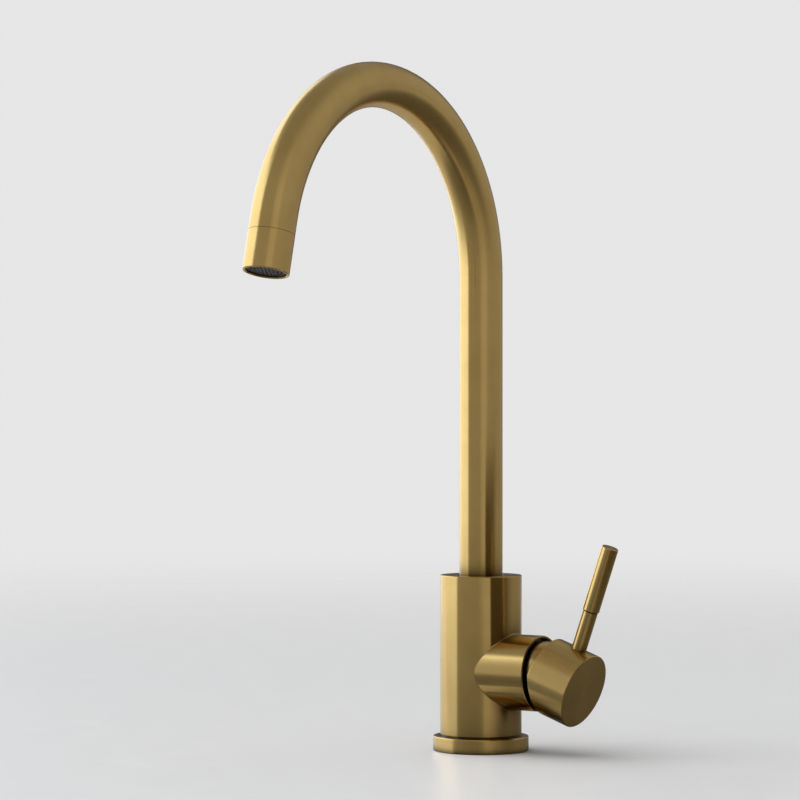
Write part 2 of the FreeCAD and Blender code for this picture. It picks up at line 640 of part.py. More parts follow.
def make_handle_cap():
    """Hollow cap with a hub for the stem. The lower half of its rim is cut square to the boss at rest."""
    body = turned_along("handle_cap", [
        ("cap_back", "cap_bore + rim_chamfer"), ("cap_back", "cap_radius"),
        ("cap_face", "cap_radius"), ("cap_face", "0"), ("hub_start", "0"),
        ("hub_start", "hub_radius"), ("cap_face - cap_wall", "hub_radius"),
        ("cap_face - cap_wall", "cap_bore"), ("cap_back + rim_chamfer", "cap_bore")])
    round_edges(body, "cap_round", rim("cap_radius", x="cap_face"))
    relief = new_sketch(body, "XZ_Plane")
    add_outline(relief, [
        ("(cap_relief - relief_top * sin(rest_tilt)) / cos(rest_tilt)", "relief_top"),
        ("-cap_radius", "relief_top"), ("-cap_radius", "-cap_radius - tool_overrun"),
        ("(cap_relief + (cap_radius + tool_overrun) * sin(rest_tilt)) / cos(rest_tilt)",
         "-cap_radius - tool_overrun")])
    pocket(body, relief, "3 * cap_radius", both_ways=True)
    round_edges(body, "rim_round", on_cap_rim)
    socket = new_sketch(body, "YZ_Plane", ("0", "0", "hub_start"))
    half = "stem_socket / 2"
    add_outline(socket, [("-" + half, "-" + half), (half, "-" + half), (half, half), ("-" + half, half)])
    pocket(body, socket, "socket_end - hub_start", backwards=True)
    for reach, radius, length, downwards in (
            ("lever_reach", "lever_stud_radius", "hub_radius + tool_overrun", False),
            ("grub_reach", "grub_radius", "hub_radius + tool_overrun", True)):
        thread = new_sketch(body, "XY_Plane")
        add_circle(thread, reach, "0", radius)
        pocket(body, thread, length, backwards=not downwards)
    lever_hole = new_sketch(body, "XY_Plane", ("0", "0", "hub_radius + tool_overrun"))
    add_circle(lever_hole, "lever_reach", "0", "lever_radius")
    pocket(body, lever_hole, "cap_radius", backwards=True)
    plug_hole = new_sketch(body, "XY_Plane", ("0", "0", "-hub_radius - tool_overrun"))
    add_circle(plug_hole, "grub_reach", "0", "plug_radius")
    pocket(body, plug_hole, "cap_radius")
    on_handle(body)


def on_lever(body, reach, direction=1):
    """Put a piece turned about Z across the cap's axis, along the lever or the opposite way."""
    along = f"{reach} * cos(rest_tilt)"
    down = f"{reach} * sin(rest_tilt)"
    turn = "rest_tilt" if direction > 0 else "rest_tilt + 180"
    place(body, x="pivot_reach + " + along, z="boss_height - " + down, axis=Vector(0, 1, 0), angle=turn)


def make_lever():
    pin = turned_up("lever_pin", [
        ("0", "lever_stud_start"), ("lever_stud_radius", "lever_stud_start"),
        ("lever_stud_radius", "lever_shoulder"), ("lever_radius", "lever_shoulder"),
        ("lever_radius", "lever_seam - seam_groove - hairline_gap"),
        ("lever_radius - hairline_gap", "lever_seam - seam_groove"),
        ("seam_neck", "lever_seam - seam_groove"), ("seam_neck", "lever_seam"),
        ("lever_stud_radius", "lever_seam"), ("lever_stud_radius", "lever_spigot_end"),
        ("0", "lever_spigot_end")])
    grip = turned_up("lever_grip", [
        ("lever_stud_radius", "lever_seam"), ("grip_radius - hairline_gap", "lever_seam"),
        ("grip_radius", "lever_seam + hairline_gap"), ("grip_radius", "grip_end"), ("0", "grip_end"),
        ("0", "lever_spigot_end"), ("lever_stud_radius", "lever_spigot_end")])
    round_edges(grip, "grip_round", rim("grip_radius", z="grip_end"))
    for piece in (pin, grip):
        on_lever(piece, "lever_reach")


def make_grub_screw_and_plug():
    grub = turned_up("handle_grub_screw", [
        ("0", "grub_start"), ("grub_radius", "grub_start"), ("grub_radius", "grub_end"),
        ("0", "grub_end")])
    cut_socket(grub, "grub_end", "grub_socket_flats", "grub_socket_depth")
    plug = turned_up("screw_plug", [
        ("0", "plug_inner"), ("plug_radius", "plug_inner"), ("plug_radius", "plug_outer - bore_chamfer"),
        ("plug_radius - bore_chamfer", "plug_outer"), ("0", "plug_outer")])
    for piece in (grub, plug):
        on_lever(piece, "grub_reach", -1)


# ---------------------------------------------------------------- spout

def make_spout_tube():
    """Tube along a straight, one arc and a short straight, square to its path at both ends."""
    body = new_body("spout_tube")
    ring = new_sketch(body, "XY_Plane", ("0", "0", "tube_bottom"))
    add_circle(ring, "0", "0", "tube_radius")
    add_circle(ring, "0", "0", "tube_bore")
    path = new_sketch(body, "YZ_Plane")
    reach = size("arc_radius")
    height = size("arc_start")
    sweep = math.radians(size("arc_sweep"))
    arc_end = Vector(reach * (math.cos(sweep) - 1), height + reach * math.sin(sweep), 0)
    tail = Vector(-math.sin(sweep), math.cos(sweep), 0) * size("tube_tail")
    foot = Vector(0, size("tube_bottom"), 0)
    column = path.addGeometry(Part.LineSegment(foot, Vector(0, height, 0)), False)
    circle = Part.Circle(Vector(-reach, height, 0), Vector(0, 0, 1), reach)
    arc = path.addGeometry(Part.ArcOfCircle(circle, 0, sweep), False)
    last = path.addGeometry(Part.LineSegment(arc_end, arc_end + tail), False)
    fix_point(path, column, 1, "0", "tube_bottom")
    fix_point(path, column, 2, "0", "arc_start")
    fix_point(path, arc, 3, "-arc_radius", "arc_start")
    path.addConstraint(Sketcher.Constraint("Coincident", column, 2, arc, 1))
    turn = path.addConstraint(Sketcher.Constraint("Angle", arc, sweep))
    bind(path, f"Constraints[{turn}]", "arc_sweep * 1 deg")
    path.addConstraint(Sketcher.Constraint("Tangent", arc, 2, last, 1))
    run = path.addConstraint(Sketcher.Constraint("Distance", last, size("tube_tail")))
    bind(path, f"Constraints[{run}]", "tube_tail")
    pipe = body.newObject("PartDesign::AdditivePipe", "spout_tube_pipe")
    pipe.Profile = ring
    pipe.Spine = path
    document.recompute()
    section = math.pi * (size("tube_radius") ** 2 - size("tube_bore") ** 2)
    length = size("arc_start - tube_bottom + tube_tail") + reach * sweep
    if abs(body.Shape.Volume / (section * length) - 1) > 0.001:
        raise RuntimeError("the spout tube isn't its section times its length")


def make_spout_adapter():
    """Turned foot of the spout, with grooves for two slide rings, two O-rings and the lock screw."""
    grooves = (
        ("lower_slide", "slide_height", "slide_groove"),
        ("lower_seal", "seal_groove_height", "seal_groove"),
        ("upper_seal", "seal_groove_height", "seal_groove"),
        ("lock_height - lock_groove_height / 2", "lock_groove_height", "lock_groove"),
        ("upper_slide", "slide_height", "slide_groove"))
    corners = [("adapter_bore", "adapter_bottom"), ("tube_radius", "adapter_bottom")]
    for start, height, floor in grooves:
        end = f"{start} + {height}"
        corners += [("tube_radius", start), (floor, start), (floor, end), ("tube_radius", end)]
    corners += [("tube_radius", "tube_bottom"), ("tube_bore", "tube_bottom"),
                ("tube_bore", "spigot_top"), ("adapter_bore", "spigot_top")]
    turned_up("spout_adapter", corners)


def make_spout_rings():
    seals = new_body("spout_o_rings")
    cords = new_sketch(seals, "XZ_Plane")
    for start in ("lower_seal", "upper_seal"):
        add_circle(cords, "seal_ring_radius", f"{start} + seal_groove_height / 2", "seal_cord_radius")
    revolve(seals, cords, "V_Axis")

    slides = new_body("spout_slide_rings")
    bands = new_sketch(slides, "XZ_Plane")
    for start in ("lower_slide", "upper_slide"):
        add_outline(bands, [("slide_groove", start), ("slide_radius", start),
                            ("slide_radius", f"{start} + slide_height"),
                            ("slide_groove", f"{start} + slide_height")])
    revolve(slides, bands, "V_Axis")
    split = new_sketch(slides, "XZ_Plane")
    add_outline(split, [("-slide_gap / 2", "lower_slide - tool_overrun"),
                        ("slide_gap / 2", "lower_slide - tool_overrun"),
                        ("slide_gap / 2", "upper_slide + slide_height + tool_overrun"),
                        ("-slide_gap / 2", "upper_slide + slide_height + tool_overrun")])
    pocket(slides, split, "2 * slide_radius")


def make_aerator():
    sleeve = turned_up("aerator_sleeve", [
        ("sleeve_bore", "-sleeve_spigot"), ("tube_bore", "-sleeve_spigot"), ("tube_bore", "0"),
        ("tube_radius - hairline_gap", "0"), ("tube_radius", "hairline_gap"),
        ("tube_radius", "sleeve_length - edge_chamfer"), ("tube_radius - edge_chamfer", "sleeve_length"),
        ("tube_bore + mouth_lip", "sleeve_length"), ("tube_bore", "sleeve_length - mouth_lip"),
        ("tube_bore", "sleeve_chamber"), ("sleeve_bore", "sleeve_chamber")])
    gasket = turned_up("aerator_gasket", [
        ("sleeve_bore", "sleeve_chamber"), ("tube_bore - peg_clearance", "sleeve_chamber"),
        ("tube_bore - peg_clearance", "aerator_start"), ("sleeve_bore", "aerator_start")])
    insert = turned_up("aerator_insert", [
        ("aerator_wall", "aerator_start"), ("tube_bore", "aerator_start"), ("tube_bore", "aerator_end"),
        ("0", "aerator_end"), ("0", "aerator_end - aerator_grid_depth"),
        ("aerator_wall", "aerator_end - aerator_grid_depth")])
    holes = new_sketch(insert, "XY_Plane", ("0", "0", "aerator_end"))
    add_circle(holes, "0", "0", "aerator_hole")
    for ring in range(1, AERATOR_RINGS + 1):
        count = 6 * ring
        for number in range(count):
            angle = 360 * number / count
            add_circle(holes, f"{ring} * aerator_pitch * cos({angle})",
                       f"{ring} * aerator_pitch * sin({angle})", "aerator_hole")
    pocket(insert, holes, "aerator_grid_depth")

    screens = new_body("aerator_screens")
    for number in (1, 2):
        level = f"aerator_start + {number} * screen_spacing - screen_thickness"
        disc = new_sketch(screens, "XY_Plane", ("0", "0", level))
        add_circle(disc, "0", "0", "aerator_wall")
        pad(screens, disc, "screen_thickness")
    for piece in (sleeve, gasket, insert, screens):
        on_spout_end(piece)


make_base_ring()
make_base_gasket()
make_main_body()
make_shank()
make_washers()
make_back_nut()
make_clamp_screws()
port_rings("port_seals", "bore_floor", "port_seal_depth", "inlet_spread",
           "port_seal_outer", "port_seal_inner")
make_cartridge_base()
port_rings("disc_seals", "disc_seat - disc_seal_depth", "disc_seal_depth", "port_spread",
           "disc_seal_outer", "base_port")
make_discs()
make_cartridge_housing()
make_cartridge_nut()
make_dome_ring()
make_rotor()
make_pivot_pin()
make_lever_stem()
make_handle_cap()
make_lever()
make_grub_screw_and_plug()
make_spout_tube()
make_spout_adapter()
make_spout_rings()
make_spout_lock_screw()
make_aerator()
document.recompute()

for item in document.Objects:
    if "Invalid" in item.State or "Error" in item.State:
        raise RuntimeError(f"{item.Name} is {item.State}")
for node in nodes:
    if node.Shape.isNull() or not node.Shape.isValid() or not node.Shape.Solids:
        raise RuntimeError(f"{node.Label} has no valid solid")

os.makedirs("parts", exist_ok=True)
for node in nodes:
    node.Shape.exportStep(os.path.join("parts", node.Label + ".step"))
    box = node.Shape.BoundBox
    print(f"{node.Label:20s} solids {len(node.Shape.Solids)} volume {node.Shape.Volume:10.1f} "
          f"x {box.XMin:7.2f} {box.XMax:7.2f} y {box.YMin:8.2f} {box.YMax:7.2f} "
          f"z {box.ZMin:7.2f} {box.ZMax:7.2f}")
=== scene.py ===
"""The looks of a swan-neck kitchen mixer tap with a side lever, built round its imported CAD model.

Metres, in the CAD frame: the column stands on the origin along +Z, the spout reaches towards -Y and the
boss with the lever points along +X. Colours are linear, and compass directions are degrees anticlockwise
from +X, seen from above.
"""

import json
import math

import bpy
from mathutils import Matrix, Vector


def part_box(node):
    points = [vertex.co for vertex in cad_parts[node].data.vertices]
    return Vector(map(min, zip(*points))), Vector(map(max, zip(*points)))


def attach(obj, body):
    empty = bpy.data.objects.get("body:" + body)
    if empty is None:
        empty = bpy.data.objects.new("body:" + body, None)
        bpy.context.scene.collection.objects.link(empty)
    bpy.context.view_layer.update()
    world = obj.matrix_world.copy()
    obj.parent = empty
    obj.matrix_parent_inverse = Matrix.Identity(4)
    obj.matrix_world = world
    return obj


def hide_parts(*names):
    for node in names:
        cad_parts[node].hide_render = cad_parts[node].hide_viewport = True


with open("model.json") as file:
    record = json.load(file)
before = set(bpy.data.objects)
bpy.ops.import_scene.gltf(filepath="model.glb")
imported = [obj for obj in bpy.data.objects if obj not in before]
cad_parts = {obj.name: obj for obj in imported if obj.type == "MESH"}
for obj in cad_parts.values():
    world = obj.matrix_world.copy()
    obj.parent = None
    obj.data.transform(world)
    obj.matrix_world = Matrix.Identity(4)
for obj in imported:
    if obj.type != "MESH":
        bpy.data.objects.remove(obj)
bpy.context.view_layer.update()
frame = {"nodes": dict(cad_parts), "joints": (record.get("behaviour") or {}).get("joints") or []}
nodes = frame["nodes"]
joints = {joint["name"]: joint for joint in frame["joints"]}

X_AXIS = Vector((1, 0, 0))
Y_AXIS = Vector((0, 1, 0))
Z_AXIS = Vector((0, 0, 1))
IN_DEGREES = 180 / math.pi


# ---------------------------------------------------------------- camera

CAMERA_AZIMUTH = math.radians(34.115)
CAMERA_DISTANCE = 1.7711
CAMERA_SIDESTEP = 0.04674
CAMERA_HEIGHT = 0.202
LENS_MM = 138.0
SENSOR_MM = 36.0


def make_camera():
    """A level long lens, standing a little to the left of the line to the column."""
    back = Vector((math.sin(CAMERA_AZIMUTH), -math.cos(CAMERA_AZIMUTH), 0))
    left = Vector((-math.cos(CAMERA_AZIMUTH), -math.sin(CAMERA_AZIMUTH), 0))
    data = bpy.data.cameras.new("camera")
    data.lens = LENS_MM
    data.sensor_width = SENSOR_MM
    camera = bpy.data.objects.new("camera", data)
    camera.location = back * CAMERA_DISTANCE + left * CAMERA_SIDESTEP + Z_AXIS * CAMERA_HEIGHT
    camera.rotation_mode = "QUATERNION"
    camera.rotation_quaternion = (-back).to_track_quat("-Z", "Y")
    bpy.context.scene.collection.objects.link(camera)
    bpy.context.scene.camera = camera


# ---------------------------------------------------------------- node helpers

class Tree:
    """A node tree with short calls for the few kinds of node used here."""

    def __init__(self, tree):
        self.tree = tree
        tree.nodes.clear()

    def add(self, kind, **settings):
        node = self.tree.nodes.new(kind)
        for name, value in settings.items():
            setattr(node, name, value)
        return node

    def feed(self, socket, value):
        """Link a socket into another, or set a plain value on it."""
        if isinstance(value, bpy.types.NodeSocket):
            self.tree.links.new(value, socket)
        elif value is not None:
            socket.default_value = value

    def place(self):
        """Where the point is, in the object's own coordinates."""
        return self.add("ShaderNodeTexCoord").outputs["Object"]

    def seen_by_camera(self):
        return self.add("ShaderNodeLightPath").outputs["Is Camera Ray"]

    def seen_from_behind(self):
        return self.add("ShaderNodeNewGeometry").outputs["Backfacing"]

    def math(self, operation, first, second=None, third=None):
        node = self.add("ShaderNodeMath", operation=operation)
        for socket, value in zip(node.inputs, (first, second, third)):
            self.feed(socket, value)
        return node.outputs[0]

    def vector(self, operation, first, second=None, scale=None):
        node = self.add("ShaderNodeVectorMath", operation=operation)
        self.feed(node.inputs[0], first)
        self.feed(node.inputs[1], second)
        if scale is not None:
            self.feed(node.inputs["Scale"], scale)
        return node.outputs["Value"] if operation in ("LENGTH", "DOT_PRODUCT") else node.outputs["Vector"]

    def split(self, vector):
        node = self.add("ShaderNodeSeparateXYZ")
        self.feed(node.inputs[0], vector)
        return node.outputs

    def join(self, x, y, z):
        node = self.add("ShaderNodeCombineXYZ")
        for socket, value in zip(node.inputs, (x, y, z)):
            self.feed(socket, value)
        return node.outputs[0]

    def line(self, value, slope, start):
        """The straight line start + slope * value."""
        return self.math("MULTIPLY_ADD", value, slope, start)

    def compass(self, x, y):
        """The direction of (x, y) in compass degrees, from -180 to 180."""
        return self.math("MULTIPLY", self.math("ARCTAN2", y, x), IN_DEGREES)

    def step(self, value, low, high, start=0.0, end=1.0):
        """A smooth step from start to end as value goes from low to high."""
        node = self.add("ShaderNodeMapRange", interpolation_type="SMOOTHSTEP")
        for name, setting in (("Value", value), ("From Min", low), ("From Max", high),
                              ("To Min", start), ("To Max", end)):
            self.feed(node.inputs[name], setting)
        return node.outputs["Result"]

    def mix(self, factor, first, second, kind="RGBA"):
        node = self.add("ShaderNodeMix", data_type=kind)
        self.feed(node.inputs[0], factor)
        sockets = [item for item in node.inputs if item.name in ("A", "B") and item.enabled]
        self.feed(sockets[0], first)
        self.feed(sockets[1], second)
        return next(item for item in node.outputs if item.enabled)

    def noise(self, vector, scale, detail, roughness=0.5):
        node = self.add("ShaderNodeTexNoise")
        self.feed(node.inputs["Vector"], vector)
        self.feed(node.inputs["Scale"], scale)
        self.feed(node.inputs["Detail"], detail)
        self.feed(node.inputs["Roughness"], roughness)
        return node.outputs["Fac"]

    def bump(self, height, strength, distance):
        node = self.add("ShaderNodeBump")
        self.feed(node.inputs["Height"], height)
        self.feed(node.inputs["Strength"], strength)
        self.feed(node.inputs["Distance"], distance)
        return node.outputs["Normal"]

    def openness(self, reach):
        """1 where the surface is in the open, towards 0 in corners narrower than reach."""
        node = self.add("ShaderNodeAmbientOcclusion", samples=8)
        self.feed(node.inputs["Distance"], reach)
        return node.outputs["AO"]

    def shader(self, kind, **inputs):
        """A shader node with its inputs given by name, their spaces written as underscores."""
        node = self.add("ShaderNode" + kind)
        for name, value in inputs.items():
            self.feed(node.inputs[name.replace("_", " ")], value)
        return node.outputs[0]

    def blend(self, factor, first, second):
        node = self.add("ShaderNodeMixShader")
        for socket, value in zip(node.inputs, (factor, first, second)):
            self.feed(socket, value)
        return node.outputs[0]

    def close(self, surface, kind="Material"):
        self.feed(self.add("ShaderNodeOutput" + kind).inputs["Surface"], surface)


def new_material(name):
    material = bpy.data.materials.new(name)
    material.use_nodes = True
    return material, Tree(material.node_tree)


def new_object(name, vertices, faces):
    mesh = bpy.data.meshes.new(name)
    mesh.from_pydata(vertices, [], faces)
    thing = bpy.data.objects.new(name, mesh)
    bpy.context.scene.collection.objects.link(thing)
    return thing


def wear(piece, material):
    """Give every slot of a piece one material."""
    piece.data.materials.clear()
    piece.data.materials.append(material)


# ---------------------------------------------------------------- floor

BACKDROP = (0.80, 0.795, 0.80, 1)
FLOOR = (0.82, 0.815, 0.82, 1)
FLOOR_RADIUS = 3.0
FLOOR_SIDES = 96
FLOOR_FADE = (0.5, 2.4)
FLOOR_GRAIN = 40.0

# The floor as the metal reflects it, with light and shade painted into its colour: painted light to the left of
# the tap and painted shade to the right. In front of the tap, past the worktop's edge, it is darkest near by and
# paler further off, with a painted glow in one direction.
LIT_FLOOR = (0.42, 0.41, 0.39, 1)
DIM_FLOOR = (0.07, 0.066, 0.056, 1)
DIM_FLOOR_SPAN = (-0.06, 0.03)
FRONT_FLOOR = (0.02, 0.019, 0.016, 1)
FRONT_FLOOR_SPAN = (-0.071, -0.065)
FAR_FLOOR = (0.21, 0.2, 0.18, 1)
FAR_FLOOR_SPAN = (0.12, 0.75)
GLOW_FLOOR = (0.25, 0.235, 0.205, 1)
GLOW_START = (-56, -46)
GLOW_END = (-26, -8)
# Right round the foot of the tap, the base ring's shade is painted into it.
SHADE_SPAN = (0.036, 0.046)


def make_floor():
    """A plain pale disc at the worktop's surface, which fades out into the backdrop and is clear from below."""
    turns = [2 * math.pi * side / FLOOR_SIDES for side in range(FLOOR_SIDES)]
    ring = [(FLOOR_RADIUS * math.cos(turn), FLOOR_RADIUS * math.sin(turn), 0) for turn in turns]
    floor = new_object("floor", ring, [tuple(range(FLOOR_SIDES))])
    material, tree = new_material("pale_floor")
    place = tree.place()
    distance = tree.vector("LENGTH", place)
    x, y, z = tree.split(place)
    compass = tree.compass(x, y)
    glow = tree.math("MULTIPLY", tree.step(compass, *GLOW_START), tree.step(compass, *GLOW_END, 1.0, 0.0))
    # Painted light and shade in the floor's colour as reflections see it; the camera sees the plain FLOOR
    # colour.
    reflected = tree.mix(tree.step(x, *DIM_FLOOR_SPAN), LIT_FLOOR, DIM_FLOOR)
    front = tree.mix(tree.step(distance, *FAR_FLOOR_SPAN), FRONT_FLOOR, FAR_FLOOR)
    reflected = tree.mix(tree.step(y, *FRONT_FLOOR_SPAN), front, reflected)
    reflected = tree.mix(glow, reflected, GLOW_FLOOR)
    reflected = tree.mix(tree.step(distance, *SHADE_SPAN), FRONT_FLOOR, reflected)
    surface = tree.shader(
        "BsdfPrincipled", Base_Color=tree.mix(tree.seen_by_camera(), reflected, FLOOR),
        Roughness=tree.line(tree.noise(place, scale=FLOOR_GRAIN, detail=3.0), slope=0.1, start=0.30))
    clearness = tree.math("MAXIMUM", tree.step(distance, *FLOOR_FADE), tree.seen_from_behind())
    tree.close(tree.blend(clearness, surface, tree.shader("BsdfTransparent")))
    wear(floor, material)
    return floor


FLOOR_LAMP_FROM = Vector((-0.35, -0.25, 1.0))
FLOOR_LAMP_SPREAD = math.radians(75)
FLOOR_LAMP_STRENGTH = 2.3


def make_floor_lamp(floor):
    """A wide soft lamp overhead, which lights the floor alone and so draws the tap's soft shadow on it."""
    data = bpy.data.lights.new("floor_lamp", "SUN")
    data.angle = FLOOR_LAMP_SPREAD
    data.energy = FLOOR_LAMP_STRENGTH
    lamp = bpy.data.objects.new("floor_lamp", data)
    lamp.rotation_mode = "QUATERNION"
    lamp.rotation_quaternion = (-FLOOR_LAMP_FROM).to_track_quat("-Z", "Y")
    bpy.context.scene.collection.objects.link(lamp)
    lit = bpy.data.collections.new("lit_by_floor_lamp")
    lit.objects.link(floor)
    lamp.light_linking.receiver_collection = lit


# ---------------------------------------------------------------- flags and room

# Dark cards stand curved to the right of the tap, as a photographer's flags do, one far and one near. Each is
# given by its radius, its span and its fade to clear in compass degrees, and the soft ends of its height.
FAR_FLAG = (0.16, (-31, 34), (-6, 34), (0.02, 0.05), (0.12, 0.18))
NEAR_FLAG = (0.05, (-37, 30), (-26, 28), (0.03, 0.05), (0.12, 0.19))
FLAG_COLOUR = (0.165, 0.125, 0.07, 1)
FLAG_STEPS = 24


def make_flag(name, radius, span, fade, low, high, one_sided=False):
    """A curved card, seen only in reflections; a one-sided card is seen only from the tap's axis."""
    start, end = (math.radians(angle) for angle in span)
    angles = [start + (end - start) * step / FLAG_STEPS for step in range(FLAG_STEPS + 1)]
    edges = [[(radius * math.cos(angle), radius * math.sin(angle), height) for angle in angles]
             for height in (low[0], high[1])]
    above = FLAG_STEPS + 1
    faces = [(step, step + above, step + above + 1, step + 1) for step in range(FLAG_STEPS)]
    flag = new_object(name, edges[0] + edges[1], faces)
    for kind in ("camera", "shadow", "diffuse"):
        setattr(flag, "visible_" + kind, False)
    material, tree = new_material(name + "_card")
    x, y, z = tree.split(tree.place())
    clearness = tree.math("MAXIMUM", tree.step(tree.compass(x, y), *fade), tree.step(z, *high))
    clearness = tree.math("MAXIMUM", clearness, tree.step(z, *low, 1.0, 0.0))
    if one_sided:
        clearness = tree.math("MAXIMUM", clearness, tree.seen_from_behind())
    tree.close(tree.blend(clearness, tree.shader("BsdfDiffuse", Color=FLAG_COLOUR),
                          tree.shader("BsdfTransparent")))
    wear(flag, material)


# Soft boxes of the studio: compass direction and height in degrees, each as (from, to), softness of the
# edges across and upwards, colour and strength. A negative strength takes light away.
SOFT_BOXES = [
    ((-224, -129), (-42, 42), (2, 5), (1.0, 1.12, 1.28), 1.0),
    ((-58, -25), (-25, 40), (8, 15), (1.0, 0.98, 0.9), 0.12),
    ((-40, 90), (10, 65), (25, 12), (1.0, 1.0, 0.95), 0.04),
    ((-262, -226), (-12, 30), (4, 10), (1.0, 1.0, 1.0), -0.2),
]
AMBIENT = (0.315, 0.312, 0.30, 1)
OVERHEAD = (0.24, 0.24, 0.235, 1)
OVERHEAD_SPAN = (35, 70)


def make_world():
    """A dim room with soft boxes. The camera itself sees only the plain backdrop."""
    world = bpy.data.worlds.new("studio")
    world.use_nodes = True
    bpy.context.scene.world = world
    tree = Tree(world.node_tree)
    x, y, z = tree.split(tree.vector("NORMALIZE", tree.add("ShaderNodeTexCoord").outputs["Generated"]))
    compass = tree.compass(x, y)
    height = tree.math("MULTIPLY", tree.math("ARCSINE", z), IN_DEGREES)
    light = tree.mix(tree.step(height, *OVERHEAD_SPAN), AMBIENT, OVERHEAD)
    for (start, end), (low, high), (across_soft, up_soft), colour, strength in SOFT_BOXES:
        centre = (start + end) / 2
        half = (end - start) / 2
        away = tree.math("ABSOLUTE", tree.math("WRAP", tree.math("SUBTRACT", compass, centre), 180.0, -180.0))
        across = tree.step(away, half - across_soft, half + across_soft, 1.0, 0.0)
        above = tree.step(height, low - up_soft, low + up_soft)
        below = tree.step(height, high - up_soft, high + up_soft, 1.0, 0.0)
        factor = tree.math("MULTIPLY", tree.math("MULTIPLY", across, above), below)
        box = tree.vector("SCALE", tuple(strength * part for part in colour), scale=factor)
        light = tree.vector("ADD", light, box)
    tree.close(tree.blend(tree.seen_by_camera(), tree.shader("Background", Color=light),
                          tree.shader("Background", Color=BACKDROP)), "World")
    bpy.context.scene.view_settings.view_transform = "Standard"


# ---------------------------------------------------------------- where things are

PIVOT = Vector(joints["lever_tilt"]["pos_m"])
TUBE_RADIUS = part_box("spout_adapter")[1].x
ARC_RADIUS = 0.102    # of the spout tube's centre line
ARC_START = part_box("spout_tube")[1].z - TUBE_RADIUS - ARC_RADIUS
BODY_RADIUS = 0.0235
SHANK_BORE = 0.0135   # its radius


def middle(name):
    low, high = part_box(name)
    return (low + high) / 2


def handle_axes():
    """The handle's own axes at rest: out of the cap, and along the lever."""
    lever = middle("lever_grip") - middle("lever_pin")
    lever.y = 0
    lever.normalize()
    return Y_AXIS.cross(lever), lever


def water_axis():
    """The way the water leaves, square to the arc's radius at its end."""
    centre = middle("aerator_sleeve")
    reach = Vector((0, centre.y + ARC_RADIUS, centre.z - ARC_START))
    return Vector((0, -reach.z, reach.y)).normalized()


CAP_AXIS, LEVER_AXIS = handle_axes()
WATER_AXIS = water_axis()


# ---------------------------------------------------------------- turned and brushed metal

GOLD = (0.80, 0.55, 0.205, 1)
GOLD_DEEP = (0.76, 0.515, 0.185, 1)
BRASS = (0.78, 0.59, 0.33, 1)
BRASS_DEEP = (0.66, 0.46, 0.22, 1)
STAINLESS = (0.66, 0.65, 0.63, 1)
STAINLESS_DEEP = (0.56, 0.55, 0.54, 1)
ZINC = (0.62, 0.64, 0.66, 1)
ZINC_DEEP = (0.56, 0.52, 0.42, 1)

# Lines for each metre along the axis, and how fast they change round it.
BRUSH_LINES = 9000.0
BRUSH_AROUND = 3.0
BRUSH_HEIGHT = 0.00001
# The metal's colour and gloss also vary in soft patches.
CLOUD_SCALE = 55.0
CLOUD_SPAN = (0.35, 0.7)
CLOUD_GLOSS = 0.05
# Painted shade: in corners narrower than the reach, over this span of openness, the metal's colour darkens to
# this share of its colour.
CREASE_REACH = 0.024
RING_CREASE_REACH = 0.005
CREASE_SPAN = (0.38, 0.96)
CREASE_SHADE = 0.12
# How much smoother the body is than the other gold pieces, on its column and on its boss.
COLUMN_SHARPNESS = 0.05
BOSS_SHARPNESS = 0.09
BOSS_START = BODY_RADIUS + 0.0003
# Turns the stretch of the reflections from along the brushed lines to across them.
QUARTER_TURN = 0.25


def brushed(tree, along, around, run):
    """Coordinates in which noise becomes fine lines: fast with the run along the axis, slow around it."""
    return tree.vector("ADD", tree.vector("SCALE", around, scale=BRUSH_AROUND),
                       tree.vector("SCALE", along, scale=tree.math("MULTIPLY", run, BRUSH_LINES)))


# A frame function returns the direction round the axis, the brushed coordinates and the extra sharpness.

def turned_frame(tree, centre, axis):
    """Round one axis, with lines that run round on flat ends too."""
    offset = tree.vector("SUBTRACT", tree.place(), centre)
    along = tree.vector("DOT_PRODUCT", offset, axis)
    radial = tree.vector("SUBTRACT", offset, tree.vector("SCALE", axis, scale=along))
    run = tree.math("ADD", along, tree.vector("LENGTH", radial))
    lines = brushed(tree, axis, tree.vector("NORMALIZE", radial), run)
    return tree.vector("CROSS_PRODUCT", axis, radial), lines, 0.0


def turned(centre, axis):
    return lambda tree: turned_frame(tree, centre, axis)


def body_frame(tree):
    """Round the column's axis on the upright body, and round the boss's axis outside its radius."""
    column = turned_frame(tree, (0, 0, 0), Z_AXIS)
    boss = turned_frame(tree, (0, 0, PIVOT.z), X_AXIS)
    x, y, z = tree.split(tree.place())
    on_boss = tree.math("GREATER_THAN", tree.vector("LENGTH", tree.join(x, y, 0.0)), BOSS_START)
    round_it = tree.mix(on_boss, column[0], boss[0], "VECTOR")
    lines = tree.mix(on_boss, column[1], boss[1], "VECTOR")
    return round_it, lines, tree.mix(on_boss, COLUMN_SHARPNESS, BOSS_SHARPNESS, "FLOAT")


def spout_frame(tree):
    """Round the tube's own line: straight up the column, then along the arc."""
    x, y, z = tree.split(tree.place())
    out = tree.math("ADD", y, ARC_RADIUS)
    up = tree.math("SUBTRACT", z, ARC_START)
    angle = tree.math("ARCTAN2", up, out)
    in_arc = tree.math("GREATER_THAN", tree.math("MAXIMUM", up, tree.math("MULTIPLY", out, -1.0)), 0.0)
    forward = tree.vector("NORMALIZE", tree.join(0.0, tree.math("MULTIPLY", up, -1.0), out))
    along = tree.mix(in_arc, Z_AXIS, forward, "VECTOR")
    run = tree.mix(in_arc, z, tree.line(angle, slope=ARC_RADIUS, start=ARC_START), "FLOAT")
    normal = tree.add("ShaderNodeTexCoord").outputs["Normal"]
    return tree.vector("CROSS_PRODUCT", along, normal), brushed(tree, along, normal, run), 0.0


